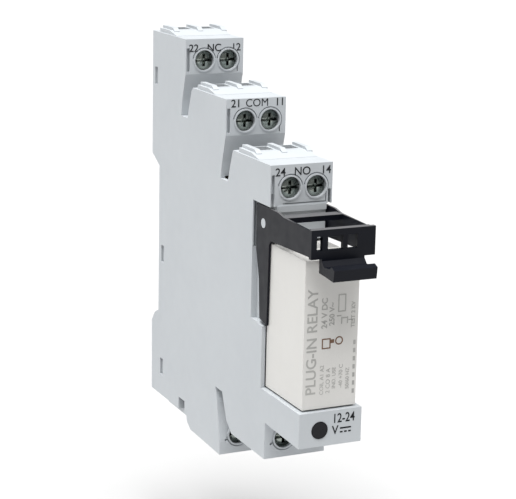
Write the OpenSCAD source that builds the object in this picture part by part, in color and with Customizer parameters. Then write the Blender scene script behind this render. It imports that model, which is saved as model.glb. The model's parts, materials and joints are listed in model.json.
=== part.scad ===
// Plug-in interface relay on a narrow DIN-rail socket.
// Frame: origin on the rail's seat, at the rail's centre line and half the socket's width.
// +Z runs up, +Y points back to the rail, and the terminals face -Y.

/* [Socket] */
// Width of the socket along the rail
socket_w = 14.0; // [13.5:0.1:16]
// Height of the rail-side edge above the seat plane
flank_depth = 4.5; // [4:0.1:6]
// Thickness of the side walls
wall = 1.0; // [0.8:0.1:1.2]
// Height of the highest tier's top
top_z = 48.8; // [46:0.1:52]
// Drop from one upper tier to the next
tier_drop = 10.15; // [9.8:0.05:10.6]
// Distance from the seat to the front of the highest tier
tier_front = 15.3; // [15:0.1:17]
// Step forward from one upper tier to the next
tier_step = 22.6; // [22:0.1:23]
// Distance from the seat to the front of the lower block
block_front = 76.3; // [76:0.1:80]

/* [Terminals] */
// Centre of the left column of terminals
left_x = -2.5; // [-2.6:0.05:-2.4]
// Centre of the right column of terminals
right_x = 3.3; // [3.25:0.05:3.4]
// Radius of the screws' heads
head_r = 2.1; // [1.9:0.05:2.15]
// Radius of the screws' shanks
shank_r = 1.45; // [1.3:0.05:1.5]
// Running clearance between moving parts
running = 0.05; // [0.02:0.01:0.1]

/* [Relay] */
// Width of the relay
relay_w = 12.0; // [11.4:0.1:12.0]
// Height of the relay along the socket
relay_h = 30.6; // [29:0.1:30.6]
// Distance from the seat to the relay's front
relay_front = 75.3; // [75:0.1:75.8]
// Distance from the seat to the relay's back
relay_back = 57.3; // [57.3:0.1:57.6]

/* [Rail] */
// Height of the top-hat rail that the socket clips on
rail_h = 35; // [35:1:35]

/* [Hidden] */
$fn = 48;
COLUMNS = [left_x, right_x];
half_w = socket_w / 2;
body_grey = [0.74, 0.76, 0.78];
clip_black = [0.07, 0.07, 0.08];
relay_cream = [0.90, 0.89, 0.84];
metal_grey = [0.62, 0.64, 0.62];
copper = [0.78, 0.48, 0.28];
brass = [0.80, 0.66, 0.36];

// Terminal rows: front face, centre height, and the side that wires come from (+1 top, -1 bottom)
screw_drop = 4.75;
lower_front_face = -60.4;
lower_front_bottom = -33.8;
lower_back_face = -37.3;
lower_back_bottom = -40.8;
lower_screw_rise = 4.3;
ROWS = [
    [-tier_front, top_z - screw_drop, 1],
    [-tier_front - tier_step, top_z - tier_drop - screw_drop, 1],
    [-tier_front - 2 * tier_step, top_z - 2 * tier_drop - screw_drop, 1],
    [lower_front_face, lower_front_bottom + lower_screw_rise, -1],
    [lower_back_face, lower_back_bottom + lower_screw_rise, -1]
];
function row_face(row) = ROWS[row][0];
function row_z(row) = ROWS[row][1];
function row_side(row) = ROWS[row][2];
function tier_top(tier) = top_z - tier * tier_drop;

// Depths behind a row's front face
pocket_depth = 3.2;
head_start = 0.4;
head_t = 2.2;
chamber_start = 5.6;
chamber_end = 16.8;
tongue_start = 11.6;
tongue_t = 0.8;
cage_start = 8.6;
cage_front_t = 1.8;
cage_back_t = 1.0;
cage_depth = 8.0;
cage_half_w = 2.35;
cage_half_h = 3.0;
entry_start = 12.2;
entry_end = 16.1;
entry_half_w = 1.9;

// Plug-in contacts: heights of the relay's pins
nc_z = -0.5;
com_z = 3.7;
no_z = 7.9;
coil_z = -14.5;
pin_x = 2.9;
pin_half_w = 0.6;
pin_half_t = 0.25;
pin_end = -53.8;
strip_half_w = 1.6;
strip_t = 0.8;

// Relay box
relay_bottom = -18.5;
relay_top = relay_bottom + relay_h;
relay_wall = 0.6;
block_top = relay_bottom - 0.4;
block_bottom = -26.2;

// Retaining clip
pivot_y = -56.7;
pivot_z = 15.9;
pivot_r = 1.0;
arm_in = 6.12;
arm_out = 6.6;

// ---------- shared shapes ----------

module box(low, high) {
    translate(low) cube(high - low);
}

// A side-view outline, given as [y, z] points, from one x to another
module side_prism(points, x0, x1) {
    translate([x0, 0, 0]) rotate([90, 0, 90]) linear_extrude(x1 - x0) polygon(points);
}

// A rod along Y from y0 to y1
module y_rod(x, y0, y1, z, r) {
    translate([x, y1, z]) rotate([90, 0, 0]) cylinder(h = y1 - y0, r = r);
}

// A rod along X from x0 to x1
module x_rod(x0, x1, y, z, r) {
    translate([x0, y, z]) rotate([0, 90, 0]) cylinder(h = x1 - x0, r = r);
}

// A rod along Z from z0 to z1
module z_rod(x, y, z0, z1, r) {
    translate([x, y, z0]) cylinder(h = z1 - z0, r = r);
}

// ---------- socket housing ----------

// Slot below an upper tier's face: the face slopes back and the next tier's back wall rises
slot_depth = 17.3;
slot_w = 3.8;
face_h = 7.8;

// Outline of one upper tier from its back corner to the slot's floor
function tier_outline(tier) =
    let (front = row_face(tier), top = tier_top(tier), floor_z = top - slot_depth)
    [
        [front, top],
        [front, top - face_h],
        [front + 1.7, top - 13.8],
        [front + 2.3, floor_z],
        [front - slot_w + 2.3, floor_z],
        [front - slot_w + 1.0, floor_z + 4.1],
        [front - slot_w + 0.2, floor_z + 6.3]
    ];

rear_top = 20.1;
rear_bottom = -20.7;
seat_top = rail_h / 2 + 0.3;
seat_bottom = -rail_h / 2 + 0.3;
arm_bay_back = -52.4;
bay_bottom = -5.2;
wall_edge = -58.0; // front edge of the side walls beside the relay

function housing_outline() = concat(
    [[flank_depth, top_z]],
    tier_outline(0),
    [[-tier_front - 4.4, tier_top(1)]],
    tier_outline(1),
    [[-tier_front - tier_step - 4.0, tier_top(2)]],
    [
        [row_face(2), tier_top(2)],
        [row_face(2), 20.0],
        [arm_bay_back, 20.0],
        [arm_bay_back, bay_bottom],
        [-55.6, bay_bottom],
        [-56.1, bay_bottom - 0.4],
        [wall_edge, bay_bottom - 0.4],
        [wall_edge, block_top],
        [-block_front, block_top],
        [-block_front, block_bottom],
        [lower_front_face, block_bottom + 0.4],
        [lower_front_face, lower_front_bottom],
        [-43.6, lower_front_bottom],
        [-40.8, -31.6],
        [-39.4, -28.5],
        [-38.2, -25.8],
        [-34.4, -25.8],
        [-35.6, -29.0],
        [lower_back_face, -38.0],
        [lower_back_face, lower_back_bottom],
        [-20.5, lower_back_bottom + 0.3],
        [-18.4, -39.2],
        [-17.9, -37.7],
        [flank_depth - 0.4, -37.7],
        [flank_depth - 0.2, rear_bottom],
        [2.5, -18.4],
        [0.9, -17.5],
        [0, seat_bottom],
        [0, seat_top],
        [flank_depth, rear_top]
    ]);

// Raised wire-entry shoulder on an upper tier, with its three guide ribs
shoulder_h = 0.9;
rib_h = 1.5;
rib_w = 1.2;
RIB_X = [-5.9, -0.1, 5.7];
module entry_shoulder(tier) {
    back = row_face(tier) + 16.5;
    front = row_face(tier) + 6.4;
    rib_front = row_face(tier) + 9.2;
    top = tier_top(tier);
    side_prism([
        [back, top - 0.5], [front, top - 0.5], [front, top + 0.05],
        [front + 4, top + shoulder_h], [back, top + shoulder_h]
    ], -6.6, 6.6);
    for (x = RIB_X)
        side_prism([
            [back, top], [rib_front, top], [rib_front, top + 0.8],
            [rib_front + 1.2, top + rib_h], [back, top + rib_h]
        ], x, x + rib_w);
}

// Everything that one terminal needs cut out of the housing
module terminal_cuts(row, x) {
    face = row_face(row);
    z = row_z(row);
    side = row_side(row);
    y_rod(x, face - 1, face + pocket_depth, z, head_r + 0.15);
    y_rod(x, face + 1, face + chamber_start + 1, z, shank_r + 0.15);
    box([x - cage_half_w - 0.15, face + chamber_start, z - cage_half_h - 0.4],
        [x + cage_half_w + 0.15, face + chamber_end, z + cage_half_h + 0.4]);
    entry_low = side > 0 ? z : z - 8;
    box([x - entry_half_w, face + entry_start, entry_low],
        [x + entry_half_w, face + entry_end, entry_low + 8]);
}

// Side-view outline of the room that the contact strips run in
function strip_room() = [
    [-1.5, 39.2], [-9.6, 39.2], [-11.8, 30.2], [-30, 30.2], [-33.2, 21.8],
    [-50.0, 21.8], [-50.0, -24.4], [-33.2, -24.4], [-33.2, -31.6], [-5.5, -31.6], [-5.5, -17.4], [-1.5, -16]
];

web_low = -0.35;
web_high = 1.35;
web_bottom = -22.5;

// The strip room, less the web between the two columns and the floor of the lowest upper tier
module strip_room_cut() {
    difference() {
        side_prism(strip_room(), -half_w + wall, half_w - wall);
        box([web_low, -60, web_bottom], [web_high, 10, top_z]);
        box([-half_w, -52, 18.9], [half_w, -43.2, 30]);
    }
}

// Way down from each upper row's chamber to the strip room
module tongue_cut(row, x) {
    face = row_face(row);
    low = row_side(row) > 0 ? row_z(row) - 8 : row_z(row);
    box([x - strip_half_w - 0.2, face + tongue_start - 0.3, low],
        [x + strip_half_w + 0.2, face + tongue_start + tongue_t + 0.3, low + 8]);
}

deck_back = -50.9;
deck_front = -57.0;
SIDES = [-1, 1];
PLUG_Z = [nc_z, com_z, no_z, coil_z];
module plug_cuts() {
    for (z = PLUG_Z)
        for (side = SIDES) {
            box([side * pin_x - 1.4, -56.5, z - 1.0], [side * pin_x + 1.4, -49, z + 1.0]);
            box([side * pin_x - 0.8, -58, z - 0.45], [side * pin_x + 0.8, -56, z + 0.45]);
            strip_x = COLUMNS[side < 0 ? 0 : 1];
            box([strip_x - strip_half_w - 0.15, -52.8, z - 1.0],
                [strip_x + strip_half_w + 0.15, -49, z + 1.0]);
        }
}

// Room beside and behind the relay's back for the clip's arms, legs and toes
module clip_room() {
    for (side = SIDES) {
        mirror([side < 0 ? 1 : 0, 0, 0]) {
            side_prism([
                [-61, 18.9], [-61, 23.3], [-58.5, 22.0], [-56, 20.9],
                [-56, 20.6], [-51.2, 20.6], [-51.2, 10], [-61, 10]
            ], arm_in - 0.08, arm_out + 0.1);
            box([4.5, -58, 7.4], [arm_in, -54.6, 12.7]);
        }
    }
}

// Snap tabs of the rear cover: [y, z] of each, and how far back its leg reaches
SNAPS = [[2.2, 38.6], [-2.4, -2.9], [-2.3, -30.6]];
SNAP_ROOTS = [3.3, -1.2, 3.0];
snap_half_w = 0.8;
snap_half_h = 1.9;
snap_tip = 0.2;     // front edge of the tab, from the slot's middle
snap_recess = 0.5;  // how far the tab stays below the wall's outside
module snap_slots() {
    for (side = SIDES)
        for (i = [0 : len(SNAPS) - 1])
            mirror([side < 0 ? 1 : 0, 0, 0]) {
                box([half_w - wall - 0.5, SNAPS[i][0] - snap_half_w - 0.1, SNAPS[i][1] - snap_half_h - 0.1],
                    [half_w + 1, SNAPS[i][0] + snap_half_w + 0.1, SNAPS[i][1] + snap_half_h + 0.1]);
                box([half_w - wall - 1.0, SNAPS[i][0] - snap_half_w - 0.1, SNAPS[i][1] - snap_half_h - 0.1],
                    [half_w - wall, SNAP_ROOTS[i] + 0.1, SNAPS[i][1] + snap_half_h + 0.1]);
            }
}

module foot_room() {
    box([-3.3, -4.8, -36.7], [3.3, 5, seat_bottom + 0.6]);
    box([-3.15, 0.1, -38], [3.15, 2.75, -30]);
    box([-half_w - 1, -16.8, -38.5], [half_w + 1, -13.2, -34.8]);
}

led_x = -2.4;
led_z = -22.75;
led_r = 1.85;
module led_room() {
    y_rod(led_x, -block_front - 1, -71, led_z, led_r);
    box([-5.8, -73.5, -25.2], [5.8, -61.5, -19.9]);
    box([-5.2, -62, -25.2], [5.2, -49.5, -22.2]);
}

module pivot_boss(side) {
    x_rod(side > 0 ? 5 : -arm_out - 0.02, side > 0 ? arm_out + 0.02 : -5, pivot_y, pivot_z, pivot_r);
}

// Pockets at the tiers' left edges
module face_trim() {
    for (tier = [0, 1, 2])
        box([-half_w + 0.25, row_face(tier) - 1, tier_top(tier) - 7.2],
            [-6.0, row_face(tier) + 0.9, tier_top(tier) - 2.0]);
}

// Raised ring round a screw's pocket
collar_r = 2.6;
collar_rise = 0.18;
module collar(row, x) {
    y_rod(x, row_face(row) - collar_rise, row_face(row) + 0.3, row_z(row), collar_r);
}

// Groove round the wire side of a collar, and for the right column down beside the screw
groove_w = 0.25;
groove_depth = 0.5;
module collar_groove(row, x) {
    face = row_face(row);
    z = row_z(row);
    side = row_side(row);
    low = side > 0 ? z + 0.4 : z - 4;
    edge = side > 0 && x > 0 ? z - 1.4 : low;
    intersection() {
        difference() {
            y_rod(x, face - 1, face + groove_depth, z, collar_r + groove_w);
            y_rod(x, face - 2, face + groove_depth + 1, z, collar_r);
        }
        union() {
            box([x - 4, face - 1, low], [x + 4, face + 1, low + 3.6]);
            box([x + 1, face - 1, edge], [x + 4, face + 1, low + 3.6]);
        }
    }
    if (side < 0)
        for (end = SIDES)
            y_rod(x + end * (collar_r + 0.35), face - 1, face + groove_depth, z - 1.1, 0.3);
    if (side > 0 && x > 0)
        box([side_line_x, face - 1, row == 2 ? lip_line_z : tier_top(row) - face_h + 0.3],
            [side_line_x + groove_w, face + groove_depth, z - 1.3]);
}

// Line above the lip at the foot of the lowest upper tier
lip_line_z = 20.35;
side_line_x = right_x + collar_r - 0.45;
module lip_line() {
    box([-4.1, row_face(2) - 1, lip_line_z],
        [side_line_x + groove_w, row_face(2) + groove_depth, lip_line_z + groove_w]);
}

module deck() {
    box([-5.7, deck_front, block_top - 1], [5.7, deck_back, 20.1]);
    box([-5.7, -60.3, 12.7], [5.7, deck_back, 20.1]);
    box([-5.4, -60.7, 18.8], [5.7, -56, 20.1]);
}

// Room for the relay's back between the housing's side walls
module relay_well() {
    box([-half_relay - 0.15, -62, block_top], [half_relay + 0.15, deck_front, 12.65]);
}

module socket_housing() color(body_grey) {
    difference() {
        union() {
            side_prism(housing_outline(), -half_w, half_w);
            deck();
            for (tier = [0, 1, 2])
                entry_shoulder(tier);
            for (row = [0 : len(ROWS) - 1])
                for (x = COLUMNS)
                    collar(row, x);
        }
        box([-half_w + wall, -1.5, -16.9], [half_w - wall, 6, top_z - wall]);
        box([-half_w + wall, 2.6, -40], [half_w - wall, 6, -16]);
        for (side = SIDES)
            mirror([side < 0 ? 1 : 0, 0, 0])
                side_prism(cover_bridge(0.1), 3.3, half_w - wall);
        strip_room_cut();
        for (row = [0 : len(ROWS) - 1])
            for (x = COLUMNS) {
                terminal_cuts(row, x);
                tongue_cut(row, x);
                collar_groove(row, x);
            }
        lip_line();
        plug_cuts();
        relay_well();
        clip_room();
        snap_slots();
        foot_room();
        led_room();
        face_trim();
    }
    for (side = SIDES)
        pivot_boss(side);
}

// ---------- rear cover ----------

cover_half_w = half_w - wall - 0.05;
cover_t = 1.4;
hook_half_w = 4.4;
module rear_cover() color(body_grey) {
    difference() {
        union() {
            side_prism([
                [flank_depth, top_z - wall - 0.05], [flank_depth, rear_top], [-0.05, seat_top - 0.1],
                [-0.05, -16.8], [-cover_t, -16.8], [-cover_t, seat_top + 0.9],
                [flank_depth - cover_t, rear_top + 1.3], [flank_depth - cover_t, top_z - wall - 0.05]
            ], -cover_half_w, cover_half_w);
            side_prism([
                [flank_depth - 0.4, -37.6], [flank_depth - 0.3, rear_bottom - 0.3],
                [2.85, rear_bottom - 0.3], [2.85, -37.6]
            ], -cover_half_w, cover_half_w);
        }
        box([-3.3, 2, -25.4], [3.3, 5, -19]);
    }
    fixed_hook();
    for (side = SIDES) {
        mirror([side < 0 ? 1 : 0, 0, 0])
            side_prism(cover_bridge(0), 3.4, cover_half_w);
        for (i = [0 : len(SNAPS) - 1])
            snap_tab(side, SNAPS[i], SNAP_ROOTS[i]);
    }
}

// Side-view outline of the bar that joins the cover's upper and lower plates, widened by a gap
function cover_bridge(gap) = [
    [-cover_t - gap, -16.7], [-0.05 + 2 * gap, -16.7], [-0.05 + 2 * gap, -17.3 + gap], [0.85, -17.55 + gap],
    [2.45, -18.45 + gap], [flank_depth - 0.3 + gap, -20.75 + gap], [flank_depth - 0.3 + gap, -21.4],
    [2.85 - gap, -21.4], [1.7 - gap, -19.9], [0.4, -19.1 - gap], [-cover_t - gap, -18.4 - gap]
];

// Hook that holds the rail's upper edge
module fixed_hook() {
    side_prism([
        [0.6, 18.2], [3.4, 19.0], [3.4, 15.9], [2.4, 15.1], [1.2, 15.1],
        [1.2, seat_top - 0.1], [0.1, seat_top - 0.1]
    ], -hook_half_w, hook_half_w);
}

// Leg along the inside of the side wall, and the tab that clicks into the wall's slot
module snap_tab(side, snap, root) {
    low_z = snap[1] - snap_half_h;
    high_z = snap[1] + snap_half_h;
    tip_y = snap[0] + snap_tip;
    mirror([side < 0 ? 1 : 0, 0, 0]) {
        box([cover_half_w - 0.8, tip_y, low_z], [cover_half_w, root, high_z]);
        box([cover_half_w - 0.1, tip_y, low_z], [half_w - snap_recess, snap[0] + snap_half_w, high_z]);
    }
}

// ---------- light-emitting diode ----------

module led_lens() color([0.16, 0.16, 0.17]) {
    y_rod(led_x, -block_front - 0.15, -73.3, led_z, led_r - 0.1);
}

module led_board() color([0.10, 0.35, 0.20]) {
    box([-5.4, -73.2, -24.9], [5.4, -72.4, -20.1]);
    box([led_x - 1, -73.27, led_z - 0.8], [led_x + 1, -73.1, led_z + 0.8]);
    box([1.2, -72.5, -24.0], [4.2, -71.6, -22.6]);
    box([1.2, -72.5, -22.0], [4.2, -71.6, -20.6]);
}

// ---------- contact strips ----------

// Forked receptacle that grips one flat pin, at the end of a strip
module receptacle(side, z) {
    gap = pin_half_t + 0.04;
    box([side * pin_x - 1.2, -52.6, z - gap - 0.4], [side * pin_x + 1.2, -51.0, z + gap + 0.4]);
    for (leaf = SIDES)
        box([side * pin_x - 1.2, -56.3, leaf > 0 ? z + gap : z - gap - 0.4],
            [side * pin_x + 1.2, -52.0, leaf > 0 ? z + gap + 0.4 : z - gap]);
}

// Strip from an upper terminal, down behind it and forward to its receptacle
module contact_strip(row, x, plug_z) color(brass) {
    y0 = row_face(row) + tongue_start;
    side = x < 0 ? -1 : 1;
    box([x - strip_half_w, y0, plug_z - 0.4], [x + strip_half_w, y0 + strip_t, row_z(row) + 2.6]);
    box([x - strip_half_w, -51.3, plug_z - 0.4], [x + strip_half_w, y0 + strip_t, plug_z + 0.4]);
    receptacle(side, plug_z);
}

// Coil strip: one tongue across a lower row's two cages, then up and forward to its receptacle
module coil_strip(row, column) color(brass) {
    y0 = row_face(row) + tongue_start;
    x = COLUMNS[column];
    side = x < 0 ? -1 : 1;
    z = row_z(row);
    for (each_x = COLUMNS)
        box([each_x - strip_half_w, y0, z - 2.6], [each_x + strip_half_w, y0 + strip_t, z + 6.4]);
    box([left_x - strip_half_w, y0, z + 5.2], [right_x + strip_half_w, y0 + strip_t, z + 6.4]);
    box([x - strip_half_w, y0, z], [x + strip_half_w, y0 + strip_t, coil_z + 0.4]);
    box([x - strip_half_w, -51.3, coil_z - 0.4], [x + strip_half_w, y0 + strip_t, coil_z + 0.4]);
    receptacle(side, coil_z);
}

// ---------- terminal screws and cages ----------

slot_half = 0.32;
module terminal_screw(row, x) color(metal_grey) {
    face = row_face(row);
    z = row_z(row);
    difference() {
        union() {
            y_rod(x, face + head_start, face + head_start + head_t, z, head_r);
            y_rod(x, face + head_start + head_t - 0.1, face + tongue_start - 0.05, z, shank_r);
        }
        box([x - 3, face, z - slot_half], [x + 3, face + head_start + 1.0, z + slot_half]);
        box([x - slot_half, face, z - 1.4], [x + slot_half, face + head_start + 1.4, z + 1.4]);
    }
}

module clamp_cage(row, x) color(metal_grey) {
    y0 = row_face(row) + cage_start;
    z = row_z(row);
    difference() {
        box([x - cage_half_w, y0, z - cage_half_h], [x + cage_half_w, y0 + cage_depth, z + cage_half_h]);
        box([x - cage_half_w + 0.55, y0 + cage_front_t, z - 5],
            [x + cage_half_w - 0.55, y0 + cage_depth - cage_back_t, z + 5]);
        y_rod(x, y0 - 1, y0 + 3, z, shank_r + running);
    }
}

// ---------- rail foot ----------

foot_half_w = 3.0;
foot_shelf = -rail_h / 2 - 0.4;
spring_low = -36.6;
spring_high = -28.2;
spring_y = -2.2;
module din_foot() color(body_grey) {
    side_prism([
        [1.15, -15.6], [1.9, -15.4], [3.6, -18.0], [3.6, -20.6], [2.55, -21.2],
        [2.55, -39.1], [-17.0, -39.1], [-17.6, -38.6], [-17.6, -37.9], [0.3, -37.9], [0.3, -28.1],
        [-4.4, -28.1], [-4.4, -26.6], [0.3, -25.2], [0.3, foot_shelf], [1.15, foot_shelf]
    ], -foot_half_w, foot_half_w);
    difference() {
        box([-5.6, -17.6, -39.1], [5.6, -3.6, -37.9]);
        box([-1.4, -13.5, -40], [1.4, -9.5, -37]);
    }
}

spring_r = 1.35;
wire_r = 0.22;
spring_turns = 6;
function spring_point(i, steps) =
    let (t = i / steps, a = 360 * spring_turns * t, rise = spring_high - spring_low - 2 * wire_r)
    [spring_r * cos(a), spring_y + spring_r * sin(a), spring_low + wire_r + rise * t];
module foot_spring() color(metal_grey) {
    steps = spring_turns * 16;
    sides = 8;
    rings = [for (i = [0 : steps])
        let (c = spring_point(i, steps), a = 360 * spring_turns * i / steps)
        for (k = [0 : sides - 1])
            let (b = 360 * k / sides)
            c + wire_r * [cos(b) * cos(a), cos(b) * sin(a), sin(b)]];
    walls = [for (i = [0 : steps - 1]) for (k = [0 : sides - 1])
        let (n = (k + 1) % sides)
        [i * sides + k, i * sides + n, (i + 1) * sides + n, (i + 1) * sides + k]];
    start_cap = [[for (k = [0 : sides - 1]) sides - 1 - k]];
    end_cap = [[for (k = [0 : sides - 1]) steps * sides + k]];
    polyhedron(points = rings, faces = concat(walls, start_cap, end_cap), convexity = 10);
}

// ---------- retaining clip ----------

plate_back = -78.4;
plate_front = -79.4;
plate_low = 13.4;
plate_high = 19.2;
module clip_arm(side) {
    mirror([side < 0 ? 1 : 0, 0, 0]) {
        difference() {
            union() {
                side_prism([
                    [-53.4, 19.5], [-63.4, 19.5], [-66.0, 19.0], [plate_back - 0.3, 18.8],
                    [plate_back - 0.3, 13.6], [-60.3, 12.9], [-59.6, 12.0], [-59.2, -5.2], [-55.7, -4.4],
                    [-55.1, 4.0], [-53.4, 10.6]
                ], arm_in, arm_out);
                box([4.7, -57.1, 8.8], [arm_in + 0.2, -56.3, 11.0]);
            }
            x_rod(arm_in - 1, arm_out + 1, pivot_y, pivot_z, pivot_r + running);
        }
    }
}

// Left and right end of each window in the front plate
WINDOWS = [[-5.8, -4.6], [-3.4, -0.1], [0.9, 3.0]];
window_low = 15.1;
window_high = 17.9;
lever_half_w = 4.7;
catch_half_w = 2.8;
module clip_front() {
    difference() {
        box([-half_w, plate_front, plate_low], [half_w, plate_back, plate_high]);
        for (window = WINDOWS)
            box([window[0], plate_front - 1, window_low], [window[1], plate_back + 1, window_high]);
    }
    // Catch behind the plate, over the relay's front edge
    side_prism([
        [plate_back - 0.2, plate_low + 0.6], [-75.7, 12.6], [-75.7, 11.0], [plate_back - 0.2, 10.4]
    ], -catch_half_w, catch_half_w);
    // Lever that a finger lifts
    side_prism([
        [plate_back, plate_low + 0.6], [plate_back, 10.4], [-81.0, 10.3], [-84.5, 10.0], [-84.8, 12.3],
        [-83.6, 12.8], [-82.8, 12.2], [-80.4, 12.0], [plate_front, 13.0], [plate_front, plate_low + 0.6]
    ], -lever_half_w, lever_half_w);
}

module retaining_clip() color(clip_black) {
    for (side = SIDES)
        clip_arm(side);
    clip_front();
    box([-arm_in - 0.3, -67.0, 17.9], [arm_in + 0.3, -64.4, 19.0]);
    box([-arm_in - 0.3, -79.0, 18.0], [arm_in + 0.3, -77.4, 19.1]);
}

// ---------- relay ----------

half_relay = relay_w / 2;
cover_back = -relay_back - 1.0;
module relay_cover() color(relay_cream) {
    difference() {
        box([-half_relay, -relay_front, relay_bottom], [half_relay, cover_back, relay_top]);
        box([-half_relay + relay_wall, -relay_front + relay_wall, relay_bottom + relay_wall],
            [half_relay - relay_wall, cover_back + 1, relay_top - relay_wall]);
    }
}

base_half_w = half_relay - relay_wall - 0.05;
base_front = -60.0;
module relay_base() color([0.25, 0.26, 0.28]) {
    difference() {
        union() {
            box([-half_relay, cover_back, relay_bottom], [half_relay, -relay_back, relay_top]);
            box([-base_half_w, base_front, relay_bottom + relay_wall + 0.05],
                [base_half_w, cover_back + 0.2, relay_top - relay_wall - 0.05]);
        }
        for (z = PLUG_Z)
            for (side = SIDES)
                box([side * pin_x - pin_half_w, base_front - 1, z - pin_half_t],
                    [side * pin_x + pin_half_w, -relay_back + 1, z + pin_half_t]);
    }
}

coil_y = -65.2;
core_r = 1.6;
bobbin_low = -15.8;
bobbin_high = -4.0;
module coil_bobbin() color([0.85, 0.85, 0.80]) {
    difference() {
        union() {
            z_rod(0, coil_y, bobbin_low, bobbin_high, core_r + 0.5);
            box([-4.5, coil_y - 4.2, bobbin_low], [4.5, coil_y + 5.1, bobbin_low + 0.8]);
            box([-4.5, coil_y - 4.2, bobbin_high - 0.8], [4.5, coil_y + 4.2, bobbin_high]);
        }
        z_rod(0, coil_y, bobbin_low - 1, bobbin_high + 1, core_r);
    }
}

module coil_winding() color(copper) {
    difference() {
        z_rod(0, coil_y, bobbin_low + 0.85, bobbin_high - 0.85, 4.2);
        z_rod(0, coil_y, bobbin_low, bobbin_high, core_r + 0.55);
    }
}

core_top = -3.15;
module iron_core() color(metal_grey) {
    z_rod(0, coil_y, -16.35, bobbin_high + 0.1, core_r);
    z_rod(0, coil_y, bobbin_high + 0.05, core_top, 3.0);
}

hinge_y = -69.9;
hinge_z = -2.1;
module yoke() color(metal_grey) difference() {
    side_prism([
        [coil_y + 3, -17.5], [hinge_y - 0.7, -17.5], [hinge_y - 0.7, hinge_z - 0.1],
        [hinge_y + 0.4, hinge_z - 0.1], [hinge_y + 0.4, -16.4], [coil_y + 3, -16.4]
    ], -3.4, 3.4);
    x_rod(-4, 4, hinge_y, hinge_z, pivot_bead_r + running);
}
pivot_bead_r = 0.3;

module flat_pin(side, z, front) {
    box([side * pin_x - pin_half_w, front, z - pin_half_t],
        [side * pin_x + pin_half_w, pin_end, z + pin_half_t]);
}

module coil_pins() color(metal_grey) {
    for (side = SIDES)
        flat_pin(side, coil_z, -60.6);
}

contact_y = -70.4;
fixed_end = -72.2;
nc_leaf = 2.1;
no_leaf = 5.35;
leaf_t = 0.4;
contact_r = 0.9;

// Fixed contact: pin through the base, a short riser, a leaf and its contact button
module fixed_contact(side, pin_z, leaf_z, button_z) color(brass) {
    flat_pin(side, pin_z, -61.0);
    box([side * pin_x - 1.0, -61.4, min(pin_z, leaf_z) - (leaf_z > pin_z ? pin_half_t : 0)],
        [side * pin_x + 1.0, -60.9, max(pin_z + pin_half_t, leaf_z + leaf_t)]);
    box([side * pin_x - 1.0, fixed_end, leaf_z], [side * pin_x + 1.0, -60.9, leaf_z + leaf_t]);
    z_rod(side * pin_x, contact_y, min(leaf_z, button_z), max(leaf_z + leaf_t, button_z), contact_r);
}

blade_t = 0.3;
blade_hinge_y = -61.0;
module common_pin(side) color(brass) {
    flat_pin(side, com_z, -60.7);
}

module moving_blade(side) color(copper) {
    box([side * pin_x - 1.2, -74.0, com_z - blade_t / 2],
        [side * pin_x + 1.2, blade_hinge_y + 0.2, com_z + blade_t / 2]);
    z_rod(side * pin_x, contact_y, com_z - 0.7, com_z + 0.7, contact_r - 0.1);
    x_rod(side * pin_x - 1.2, side * pin_x + 1.2, blade_hinge_y, com_z, 0.24);
}

armature_tip = -74.0;
module armature() color(metal_grey) {
    side_prism([
        [-62.2, hinge_z], [armature_tip, hinge_z], [armature_tip, hinge_z + 0.6],
        [hinge_y, hinge_z + 1.0], [-62.2, hinge_z + 1.0]
    ], -3.4, 3.4);
    x_rod(-3.4, 3.4, hinge_y, hinge_z, pivot_bead_r);
}

card_low = hinge_z + 0.75;
module actuator_card() color([0.80, 0.30, 0.20]) {
    side_prism([
        [-74.4, card_low], [-72.8, card_low], [-72.8, card_low + 1.2], [-73.2, card_low + 1.6],
        [-73.2, com_z - blade_t / 2 - 0.03], [-74.4, com_z - blade_t / 2 - 0.03]
    ], -4.4, 4.4);
}

// ---------- nodes ----------

socket_housing();
rear_cover();
led_lens();
led_board();
contact_strip(0, right_x, nc_z);  // strip_12
contact_strip(0, left_x, nc_z);  // strip_22
contact_strip(1, right_x, com_z);  // strip_11
contact_strip(1, left_x, com_z);  // strip_21
contact_strip(2, right_x, no_z);  // strip_14
contact_strip(2, left_x, no_z);  // strip_24
coil_strip(3, 1);  // strip_a2
coil_strip(4, 0);  // strip_a1
terminal_screw(0, right_x);  // screw_12
terminal_screw(0, left_x);  // screw_22
terminal_screw(1, right_x);  // screw_11
terminal_screw(1, left_x);  // screw_21
terminal_screw(2, right_x);  // screw_14
terminal_screw(2, left_x);  // screw_24
terminal_screw(3, right_x);  // screw_a2_right
terminal_screw(3, left_x);  // screw_a2_left
terminal_screw(4, right_x);  // screw_a1_right
terminal_screw(4, left_x);  // screw_a1_left
clamp_cage(0, right_x);  // cage_12
clamp_cage(0, left_x);  // cage_22
clamp_cage(1, right_x);  // cage_11
clamp_cage(1, left_x);  // cage_21
clamp_cage(2, right_x);  // cage_14
clamp_cage(2, left_x);  // cage_24
clamp_cage(3, right_x);  // cage_a2_right
clamp_cage(3, left_x);  // cage_a2_left
clamp_cage(4, right_x);  // cage_a1_right
clamp_cage(4, left_x);  // cage_a1_left
din_foot();
foot_spring();
retaining_clip();
relay_cover();
relay_base();
coil_bobbin();
coil_winding();
iron_core();
yoke();
coil_pins();
fixed_contact(1, nc_z, nc_leaf, com_z - 0.72);  // nc_contact_12
fixed_contact(-1, nc_z, nc_leaf, com_z - 0.72);  // nc_contact_22
fixed_contact(1, no_z, no_leaf, com_z + 1.08);  // no_contact_14
fixed_contact(-1, no_z, no_leaf, com_z + 1.08);  // no_contact_24
common_pin(1);  // common_pin_11
common_pin(-1);  // common_pin_21
armature();
actuator_card();
moving_blade(1);  // moving_blade_11
moving_blade(-1);  // moving_blade_21
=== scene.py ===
# Looks of the plug-in relay on its DIN-rail socket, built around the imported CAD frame.
import json
import math

import bmesh
import bpy
from mathutils import Matrix, Vector


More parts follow.
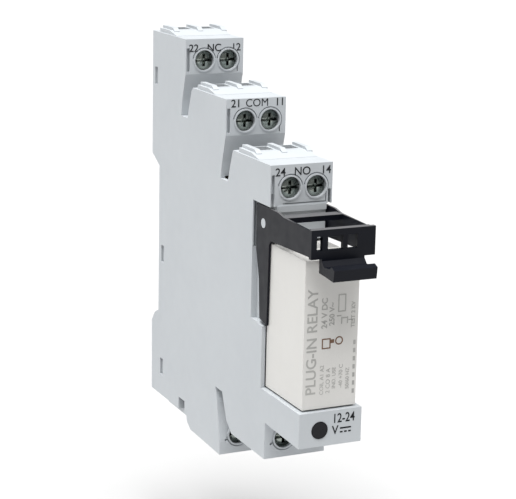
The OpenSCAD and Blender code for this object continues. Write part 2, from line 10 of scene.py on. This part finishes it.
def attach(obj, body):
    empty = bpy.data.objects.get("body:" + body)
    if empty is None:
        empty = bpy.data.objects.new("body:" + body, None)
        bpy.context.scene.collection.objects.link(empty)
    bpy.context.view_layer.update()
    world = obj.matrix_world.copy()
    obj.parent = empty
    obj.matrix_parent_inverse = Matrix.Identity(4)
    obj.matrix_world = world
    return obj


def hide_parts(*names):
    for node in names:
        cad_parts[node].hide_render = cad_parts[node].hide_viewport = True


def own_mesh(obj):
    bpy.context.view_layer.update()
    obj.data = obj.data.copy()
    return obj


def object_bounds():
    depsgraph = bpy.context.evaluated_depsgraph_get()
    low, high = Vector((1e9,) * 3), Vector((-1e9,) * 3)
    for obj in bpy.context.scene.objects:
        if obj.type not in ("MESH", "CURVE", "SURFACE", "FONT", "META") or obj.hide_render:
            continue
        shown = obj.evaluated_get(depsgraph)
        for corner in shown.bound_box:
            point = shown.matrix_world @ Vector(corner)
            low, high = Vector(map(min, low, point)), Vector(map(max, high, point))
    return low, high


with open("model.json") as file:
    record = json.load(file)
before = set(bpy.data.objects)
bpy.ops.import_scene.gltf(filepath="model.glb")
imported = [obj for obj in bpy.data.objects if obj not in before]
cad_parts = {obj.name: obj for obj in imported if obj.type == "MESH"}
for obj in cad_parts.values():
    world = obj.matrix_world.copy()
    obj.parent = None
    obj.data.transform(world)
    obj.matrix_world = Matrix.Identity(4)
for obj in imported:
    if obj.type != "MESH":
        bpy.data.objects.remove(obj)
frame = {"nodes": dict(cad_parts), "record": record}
cad_bounds = [list(corner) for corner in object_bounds()]
MM = 0.001


# ---------- camera ----------

CAMERA_AZIMUTH = math.radians(-25.07)
CAMERA_ELEVATION = math.radians(13.47)
CAMERA_ROLL = math.radians(1.22)
CAMERA_PLACE = Vector((-148.69, -358.15, 90.18)) * MM
CAMERA_LENS = 116.80
SENSOR_WIDTH = 36.0


def make_camera():
    """A camera at the photograph's viewing angle: in front, to the left and a little above."""
    a, e, r = CAMERA_AZIMUTH, CAMERA_ELEVATION, CAMERA_ROLL
    back = Vector((math.sin(a) * math.cos(e), -math.cos(a) * math.cos(e), math.sin(e)))
    right = Vector((math.cos(a), math.sin(a), 0.0))
    up = back.cross(right)
    rolled_right = right * math.cos(r) + up * math.sin(r)
    rolled_up = up * math.cos(r) - right * math.sin(r)
    data = bpy.data.cameras.new("camera")
    data.lens = CAMERA_LENS
    data.sensor_width = SENSOR_WIDTH
    data.sensor_fit = "HORIZONTAL"
    data.clip_start = 0.01
    camera = bpy.data.objects.new("camera", data)
    turn = Matrix((rolled_right, rolled_up, back)).transposed().to_4x4()
    camera.matrix_world = Matrix.Translation(CAMERA_PLACE) @ turn
    bpy.context.scene.collection.objects.link(camera)
    bpy.context.scene.camera = camera


# ---------- node helpers ----------

def tree_and_shader(material):
    tree = material.node_tree
    shader = next(n for n in tree.nodes if n.type == "BSDF_PRINCIPLED")
    return tree, shader


def new_material(name):
    material = bpy.data.materials.new(name)
    material.use_nodes = True
    return material, *tree_and_shader(material)


def object_coords(tree):
    return tree.nodes.new("ShaderNodeTexCoord").outputs["Object"]


def noise(tree, scale, detail=4.0, stretch=None, roughness=0.5):
    """A noise texture in object space, with its scale in cycles per metre."""
    node = tree.nodes.new("ShaderNodeTexNoise")
    node.inputs["Scale"].default_value = scale
    node.inputs["Detail"].default_value = detail
    node.inputs["Roughness"].default_value = roughness
    coords = object_coords(tree)
    if stretch:
        mapping = tree.nodes.new("ShaderNodeMapping")
        mapping.inputs["Scale"].default_value = stretch
        tree.links.new(coords, mapping.inputs["Vector"])
        coords = mapping.outputs["Vector"]
    tree.links.new(coords, node.inputs["Vector"])
    return node.outputs["Fac"]


def spread(tree, value, low, high, from_low=0.3, from_high=0.7):
    """Maps a texture's value to a range."""
    node = tree.nodes.new("ShaderNodeMapRange")
    node.inputs["From Min"].default_value = from_low
    node.inputs["From Max"].default_value = from_high
    node.inputs["To Min"].default_value = low
    node.inputs["To Max"].default_value = high
    tree.links.new(value, node.inputs["Value"])
    return node.outputs["Result"]


def maths(tree, operation, first, second):
    """A math node; each input is a socket or a constant."""
    node = tree.nodes.new("ShaderNodeMath")
    node.operation = operation
    for i, value in enumerate((first, second)):
        if isinstance(value, float):
            node.inputs[i].default_value = value
        else:
            tree.links.new(value, node.inputs[i])
    return node.outputs["Value"]


def vector_maths(tree, operation, first, second):
    """A vector math node; the second input is a socket or a constant vector."""
    node = tree.nodes.new("ShaderNodeVectorMath")
    node.operation = operation
    tree.links.new(first, node.inputs[0])
    if isinstance(second, bpy.types.NodeSocket):
        tree.links.new(second, node.inputs[1])
    else:
        node.inputs[1].default_value = second
    return node.outputs["Value" if operation == "DOT_PRODUCT" else "Vector"]


def split_z(tree, vector):
    node = tree.nodes.new("ShaderNodeSeparateXYZ")
    tree.links.new(vector, node.inputs["Vector"])
    return node.outputs["Z"]


def two_colours(tree, value, first, second):
    """Mixes two colours by a value from 0 to 1."""
    node = tree.nodes.new("ShaderNodeMix")
    node.data_type = "RGBA"
    node.inputs["A"].default_value = (*first, 1.0)
    node.inputs["B"].default_value = (*second, 1.0)
    tree.links.new(value, node.inputs["Factor"])
    return node.outputs["Result"]


def bump(tree, shader, height, strength, distance):
    node = tree.nodes.new("ShaderNodeBump")
    node.inputs["Strength"].default_value = strength
    node.inputs["Distance"].default_value = distance
    tree.links.new(height, node.inputs["Height"])
    tree.links.new(node.outputs["Normal"], shader.inputs["Normal"])


CLOUD_SCALE = 55.0  # noise scales are in cycles per metre
GLOSS_SCALE = 420.0
GRAIN_SCALE = 2600.0
TARNISH_SCALE = 260.0
TOOL_MARK_SCALE = 900.0
GLOSS_SPREAD = 0.05
RELIEF = 0.02 * MM
TOOL_MARK_STRENGTH = 0.25


def moulded_plastic(name, light, dark, rough, grain, specular=0.4):
    """Moulded plastic: faint cloudy colour, a fine spark-eroded grain and uneven gloss."""
    material, tree, shader = new_material(name)
    cloud = spread(tree, noise(tree, CLOUD_SCALE), 0.0, 1.0)
    tree.links.new(two_colours(tree, cloud, light, dark), shader.inputs["Base Color"])
    gloss = spread(tree, noise(tree, GLOSS_SCALE, detail=3.0), rough - GLOSS_SPREAD, rough + GLOSS_SPREAD)
    tree.links.new(gloss, shader.inputs["Roughness"])
    bump(tree, shader, noise(tree, GRAIN_SCALE, detail=2.0), grain, RELIEF)
    shader.inputs["Specular IOR Level"].default_value = specular
    return material


def metal(name, light, dark, rough, stretch=None):
    """Plated or bare metal: faint tarnish, fine tool marks and uneven gloss."""
    material, tree, shader = new_material(name)
    tarnish = spread(tree, noise(tree, TARNISH_SCALE), 0.0, 1.0)
    tree.links.new(two_colours(tree, tarnish, light, dark), shader.inputs["Base Color"])
    shader.inputs["Metallic"].default_value = 1.0
    marks = noise(tree, TOOL_MARK_SCALE, detail=5.0, stretch=stretch)
    tree.links.new(spread(tree, marks, rough - 0.08, rough + 0.12), shader.inputs["Roughness"])
    bump(tree, shader, marks, TOOL_MARK_STRENGTH, RELIEF)
    return material


SCREW_DOME = 220.0  # height lost, per metre squared of distance from the axis


def screw_metal(name, middle):
    """Plated screw whose flat head shades like a low dome around its own axis."""
    material = metal(name, (0.36, 0.39, 0.36), (0.22, 0.25, 0.23), 0.20)
    tree, shader = tree_and_shader(material)
    offset = vector_maths(tree, "SUBTRACT", object_coords(tree), middle)
    across = vector_maths(tree, "MULTIPLY", offset, (1.0, 0.0, 1.0))
    squared = vector_maths(tree, "DOT_PRODUCT", across, across)
    bump(tree, shader, maths(tree, "MULTIPLY", squared, -SCREW_DOME), 1.0, 1.0)
    return material


def paint_top_highlight(material, colour, low, high):
    """Painted highlight: a paler colour on the upward faces above a height, standing in for the top light
    falling on them.
    """
    tree, shader = tree_and_shader(material)
    before = shader.inputs["Base Color"].links[0].from_socket
    upward = split_z(tree, tree.nodes.new("ShaderNodeNewGeometry").outputs["Normal"])
    height = split_z(tree, object_coords(tree))
    highlight_mask = maths(
        tree, "MULTIPLY",
        spread(tree, upward, 0.0, 1.0, 0.6, 0.9),
        spread(tree, height, 0.0, 1.0, low * MM, high * MM),
    )
    mix = tree.nodes.new("ShaderNodeMix")
    mix.data_type = "RGBA"
    mix.inputs["B"].default_value = (*colour, 1.0)
    tree.links.new(highlight_mask, mix.inputs["Factor"])
    tree.links.new(before, mix.inputs["A"])
    tree.links.new(mix.outputs["Result"], shader.inputs["Base Color"])


# ---------- materials ----------

# Each plastic: lighter and darker colour, roughness, grain and specular level
PLASTICS = {
    "body_plastic": ((0.475, 0.50, 0.52), (0.45, 0.475, 0.497), 0.50, 0.10, 0.4),
    "clip_plastic": ((0.0025, 0.0032, 0.0065), (0.0045, 0.0055, 0.0095), 0.38, 0.12, 0.16),
    "relay_plastic": ((0.63, 0.622, 0.60), (0.605, 0.597, 0.575), 0.45, 0.10, 0.4),
    "base_plastic": ((0.03, 0.03, 0.035), (0.04, 0.04, 0.045), 0.55, 0.15, 0.4),
    "lens_plastic": ((0.007, 0.007, 0.009), (0.012, 0.012, 0.014), 0.30, 0.05, 0.2),
    "bobbin_plastic": ((0.75, 0.74, 0.66), (0.68, 0.67, 0.60), 0.5, 0.10, 0.4),
    "card_plastic": ((0.62, 0.12, 0.05), (0.55, 0.10, 0.05), 0.45, 0.10, 0.4),
    "board": ((0.03, 0.16, 0.07), (0.02, 0.12, 0.05), 0.35, 0.20, 0.4),
}

# Each metal: lighter and darker colour, roughness and how its tool marks are stretched
METALS = {
    "plated_steel": ((0.17, 0.19, 0.17), (0.10, 0.12, 0.11), 0.20, None),
    "strip_brass": ((0.78, 0.60, 0.28), (0.66, 0.48, 0.22), 0.30, (1, 1, 0.1)),
    "copper_wire": ((0.70, 0.30, 0.13), (0.52, 0.20, 0.08), 0.30, (0.1, 0.1, 6)),
    "soft_iron": ((0.45, 0.45, 0.45), (0.36, 0.36, 0.37), 0.34, (1, 1, 0.1)),
}

MATERIALS = {name: moulded_plastic(name, *recipe) for name, recipe in PLASTICS.items()}
MATERIALS.update({name: metal(name, *recipe) for name, recipe in METALS.items()})
# Painted highlight on the clip's top faces: its colour and the height band where it fades in, in mm
TOP_HIGHLIGHT_COLOUR = (0.11, 0.11, 0.115)
TOP_HIGHLIGHT_LOW = 18.9
TOP_HIGHLIGHT_HIGH = 19.0

# Bevel widths of the nodes whose edges are rounder than the rest
EDGE_ROUND = {
    "socket_housing": 0.16,
    "relay_cover": 0.35,
    "retaining_clip": 0.12,
    "din_foot": 0.2,
    "relay_base": 0.12,
}
FINE_EDGE = 0.06
FLAT_ANGLE = math.radians(0.5)
SHARP_ANGLE = math.radians(28)


def middle_of(node):
    """Middle of a node's box, in the node's own coordinates."""
    corners = [Vector(corner) for corner in node.bound_box]
    return sum(corners, Vector()) / len(corners)


def dress_cad_nodes():
    """Gives every CAD node its slot's material, rounded edges and clean shading."""
    slots = {s["node"]: s["material_slot"] for s in frame["record"]["subparts"]}
    for name, node in frame["nodes"].items():
        node.data.materials.clear()
        is_screw = name.startswith("screw_")
        material = screw_metal(name, middle_of(node)) if is_screw else MATERIALS[slots[name]]
        node.data.materials.append(material)
        round_edges(node, EDGE_ROUND.get(name, FINE_EDGE))


def round_edges(node, width):
    """Small bevels on sharp edges, with normals that keep the flat faces flat."""
    join = node.modifiers.new("join_flats", "DECIMATE")
    join.decimate_type = "DISSOLVE"
    join.angle_limit = FLAT_ANGLE
    bevel = node.modifiers.new("round_edges", "BEVEL")
    bevel.width = width * MM
    bevel.segments = 3
    bevel.limit_method = "ANGLE"
    bevel.angle_limit = SHARP_ANGLE
    bevel.use_clamp_overlap = True
    bevel.harden_normals = True
    bevel.miter_outer = "MITER_ARC"
    for polygon in node.data.polygons:
        polygon.use_smooth = True


# ---------- foot spring ----------


def squashed_spring():
    """The foot's spring as a copy of the CAD coil that rides on the socket, in place of the hidden CAD node.
    """
    coil = bpy.data.objects.new("foot_spring_coil", frame["nodes"]["foot_spring"].data.copy())
    bpy.context.scene.collection.objects.link(coil)
    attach(coil, "socket")
    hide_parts("foot_spring")
    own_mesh(coil)


# ---------- printed marks ----------

INK = moulded_plastic("ink", (0.012, 0.013, 0.015), (0.03, 0.032, 0.036), 0.6, 0.05, specular=0.2)
PALE_INK = moulded_plastic("pale_ink", (0.30, 0.30, 0.29), (0.42, 0.42, 0.40), 0.6, 0.05, specular=0.2)
BROWN_INK = moulded_plastic("brown_ink", (0.14, 0.08, 0.05), (0.20, 0.12, 0.08), 0.6, 0.05, specular=0.2)
PRINT_RISE = 0.02
PRINT_DEPTH = 0.03


def add_piece(name, mesh, body, material):
    """A mesh that is already in place, as a piece that rides on a body."""
    piece = bpy.data.objects.new(name, mesh)
    bpy.context.scene.collection.objects.link(piece)
    mesh.materials.clear()
    mesh.materials.append(material)
    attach(piece, body)


def add_worked_mesh(name, work, body, material):
    mesh = bpy.data.meshes.new(name)
    work.to_mesh(mesh)
    work.free()
    add_piece(name, mesh, body, material)


def printed_text(name, words, x, y, z, size, body, ink=INK, turn=0.0, bold=0.0, squeeze=1.0):
    """Raised ink lettering on a face that looks along -Y, centred at x and z."""
    curve = bpy.data.curves.new(name, "FONT")
    curve.body = words
    curve.size = size * MM
    curve.align_x = "CENTER"
    curve.align_y = "CENTER"
    curve.extrude = PRINT_DEPTH / 2 * MM
    curve.offset = bold * MM
    flat = bpy.data.objects.new(name, curve)
    bpy.context.scene.collection.objects.link(flat)
    flat.matrix_world = (
        Matrix.Translation(Vector((x, y - PRINT_RISE, z)) * MM)
        @ Matrix.Rotation(math.radians(90), 4, "X")
        @ Matrix.Rotation(math.radians(turn), 4, "Z")
        @ Matrix.Diagonal((squeeze, 1, 1, 1))
    )
    bpy.context.view_layer.update()
    evaluated = flat.evaluated_get(bpy.context.evaluated_depsgraph_get())
    mesh = bpy.data.meshes.new_from_object(evaluated)
    mesh.transform(flat.matrix_world)
    bpy.data.objects.remove(flat)
    add_piece(name, mesh, body, ink)


def printed_bars(name, bars, y, body, ink):
    """Thin printed rectangles: x, z, width and height of each."""
    work = bmesh.new()
    for x, z, width, height in bars:
        made = bmesh.ops.create_cube(work, size=1.0)
        for vert in made["verts"]:
            vert.co = Vector((
                x + vert.co.x * width,
                y - PRINT_RISE + vert.co.y * PRINT_DEPTH,
                z + vert.co.z * height,
            )) * MM
    add_worked_mesh(name, work, body, ink)


def rectangle_bars(x, z, width, height, line):
    """The four bars of a printed rectangle."""
    sides = [(x + side * width / 2, z, line, height + line) for side in (-1, 1)]
    ends = [(x, z + side * height / 2, width - line, line) for side in (-1, 1)]
    return sides + ends


def printed_ring(name, x, y, z, radius, width, body, ink, steps=40):
    """A printed circle line."""
    work = bmesh.new()
    section = ((radius, 0), (radius + width, 0), (radius + width, 1), (radius, 1))
    angles = [2 * math.pi * i / steps for i in range(steps)]
    loops = [
        [
            work.verts.new(Vector((
                x + r * math.cos(angle),
                y - PRINT_RISE + PRINT_DEPTH * (0.5 - depth),
                z + r * math.sin(angle),
            )) * MM)
            for angle in angles
        ]
        for r, depth in section
    ]
    for loop, next_loop in zip(loops, loops[1:] + loops[:1]):
        for i in range(steps):
            n = (i + 1) % steps
            work.faces.new((loop[i], loop[n], next_loop[n], next_loop[i]))
    bmesh.ops.recalc_face_normals(work, faces=work.faces)
    add_worked_mesh(name, work, body, ink)


# Terminal numbers on the three upper tiers: each tier is one step forward and one step down
FIRST_FACE = -15.3
FACE_STEP = -22.6
FIRST_TOP = 48.8
TOP_STEP = -10.15
TIER_WORDS = (("22", "NC", "12"), ("21", "COM", "11"), ("24", "NO", "14"))
WORD_X = (-5.05, -0.15, 5.2)
WORD_DROPS = (2.1, 1.05, 1.55)
WORD_SHIFTS = (0.0, 0.35, 0.25)
WORD_SIZE = 2.35
WORD_BOLD = 0.025


def print_terminal_numbers():
    for tier, words in enumerate(TIER_WORDS):
        face = FIRST_FACE + FACE_STEP * tier
        z = FIRST_TOP + TOP_STEP * tier - WORD_DROPS[tier]
        for word, x in zip(words, WORD_X):
            bold = 0.0 if "M" in word else WORD_BOLD  # a bolder M fills its own corners
            printed_text(f"mark_{word}", word, x + WORD_SHIFTS[tier], face, z, WORD_SIZE, "socket", bold=bold)


# Marks on the lower block: words first, then the direct-current sign's line over three dashes
BLOCK_FRONT = -76.3
BLOCK_BOLD = 0.03
SIGN_X = 3.45
SIGN_LINE = (SIGN_X, -22.85, 2.5, 0.32)
SIGN_DASHES = [(SIGN_X + 0.93 * i, -23.65, 0.6, 0.32) for i in (-1, 0, 1)]


def print_voltage():
    """The coil voltage and the direct-current sign."""
    printed_text("mark_voltage", "12-24", 2.95, BLOCK_FRONT, -20.75, 2.75, "socket",
                 bold=BLOCK_BOLD, squeeze=0.8)
    printed_text("mark_volt", "V", 1.1, BLOCK_FRONT, -23.2, 2.6, "socket",
                 bold=BLOCK_BOLD, squeeze=0.9)
    printed_bars("mark_direct_current", [SIGN_LINE] + SIGN_DASHES, BLOCK_FRONT, "socket", INK)


# Generic marks on the relay's front: words, x, z, size and boldness of each upright line
RELAY_FRONT = -75.3
RELAY_WORDS = (
    ("PLUG-IN RELAY", -4.1, -4.6, 3.15, 0.03),
    ("24 V DC", -1.5, 1.2, 1.75, 0.03),
    ("250 V~", 0.15, 0.9, 1.6, 0.03),
    ("COIL A1 A2", -1.75, -12.6, 1.2, 0.0),
    ("2 CO 8 A", -0.35, -12.9, 1.3, 0.0),
    ("IND. USE", 0.95, -12.4, 1.15, 0.0),
    ("-40 +70 C", 2.5, -12.2, 1.2, 0.0),
    ("50/60 HZ", 4.0, -12.8, 1.15, 0.0),
    ("TEST 2 KV", 4.9, 0.4, 1.2, 0.02),
)
LINE = 0.22
COIL_BOX = rectangle_bars(2.3, 3.0, 1.5, 3.4, LINE)
CONTACT_BARS = [(1.7 + 1.3 * i, 0.4 - 0.5 * i, 1.0, LINE) for i in range(3)]
CONTACT_POSTS = [(2.3 + 1.3 * i, -0.6, LINE, 1.4) for i in range(2)]
EDGE_MARKS = [(5.35, -5.4 - 1.7 * i, 0.5, 0.9) for i in range(7)]
RELAY_BARS = (
    ("relay_square", rectangle_bars(-1.0, -5.1, 1.7, 1.9, 0.24), BROWN_INK),
    ("relay_square_dot", [(0.35, -4.7, 0.8, 0.75)], BROWN_INK),
    ("relay_diagram", COIL_BOX + CONTACT_BARS + CONTACT_POSTS, PALE_INK),
    ("relay_edge_marks", EDGE_MARKS, PALE_INK),
)


def print_relay_front():
    """Plain generic marks where the real relay has its ratings."""
    for i, (words, x, z, size, bold) in enumerate(RELAY_WORDS):
        printed_text(f"relay_words_{i}", words, x, RELAY_FRONT, z, size, "relay",
                     PALE_INK, turn=90, bold=bold)
    printed_ring("relay_ring", 1.85, RELAY_FRONT, -4.7, 0.62, 0.26, "relay", BROWN_INK)
    for name, bars, ink in RELAY_BARS:
        printed_bars(name, bars, RELAY_FRONT, "relay", ink)


# ---------- floor, backdrop and lights ----------

FLOOR_GAP = 0.03
FLOOR_SIZE = 6.0
FLOOR_CLOUD_SCALE = 12.0
FLOOR_GREY = (0.50, 0.50, 0.50)
FLOOR_LIGHTER = (0.52, 0.52, 0.52)
FLOOR_ROUGHNESS = 0.9


def make_floor():
    """A plain pale sheet under the object."""
    material, tree, shader = new_material("floor")
    shade = spread(tree, noise(tree, FLOOR_CLOUD_SCALE), 0.0, 1.0)
    tree.links.new(two_colours(tree, shade, FLOOR_GREY, FLOOR_LIGHTER), shader.inputs["Base Color"])
    shader.inputs["Roughness"].default_value = FLOOR_ROUGHNESS
    low_z = cad_bounds[0][2]
    bpy.ops.mesh.primitive_plane_add(size=FLOOR_SIZE, location=(0, 0, low_z - FLOOR_GAP))
    floor = bpy.context.object
    floor.name = "floor"
    floor.data.materials.append(material)


# Each distant light: the direction it shines from, its strength and its softness in degrees
SUNS = {
    "top_light": ((-0.16, -0.19, 1.0), 1.84, 50),
    "left_light": ((-1.0, 0.25, 0.30), 0.18, 40),
}
WORLD_STRENGTH = 0.30


def sun(name, towards, strength, softness):
    """A distant soft light that shines from the direction given."""
    data = bpy.data.lights.new(name, "SUN")
    data.energy = strength * math.pi
    data.angle = math.radians(softness)
    light = bpy.data.objects.new(name, data)
    light.rotation_euler = Vector(towards).to_track_quat("Z", "Y").to_euler()
    bpy.context.scene.collection.objects.link(light)


def make_lights():
    world = bpy.data.worlds.new("world")
    world.use_nodes = True
    background = world.node_tree.nodes["Background"]
    background.inputs["Color"].default_value = (1.0, 1.0, 1.0, 1.0)
    background.inputs["Strength"].default_value = WORLD_STRENGTH
    bpy.context.scene.world = world
    for name, settings in SUNS.items():
        sun(name, *settings)
    bpy.context.scene.view_settings.view_transform = "Standard"


make_camera()
# painted highlight on the upward faces of the clip above 19 mm
paint_top_highlight(MATERIALS["clip_plastic"], TOP_HIGHLIGHT_COLOUR, TOP_HIGHLIGHT_LOW, TOP_HIGHLIGHT_HIGH)
dress_cad_nodes()
squashed_spring()
print_terminal_numbers()
print_voltage()
print_relay_front()
make_floor()
make_lights()
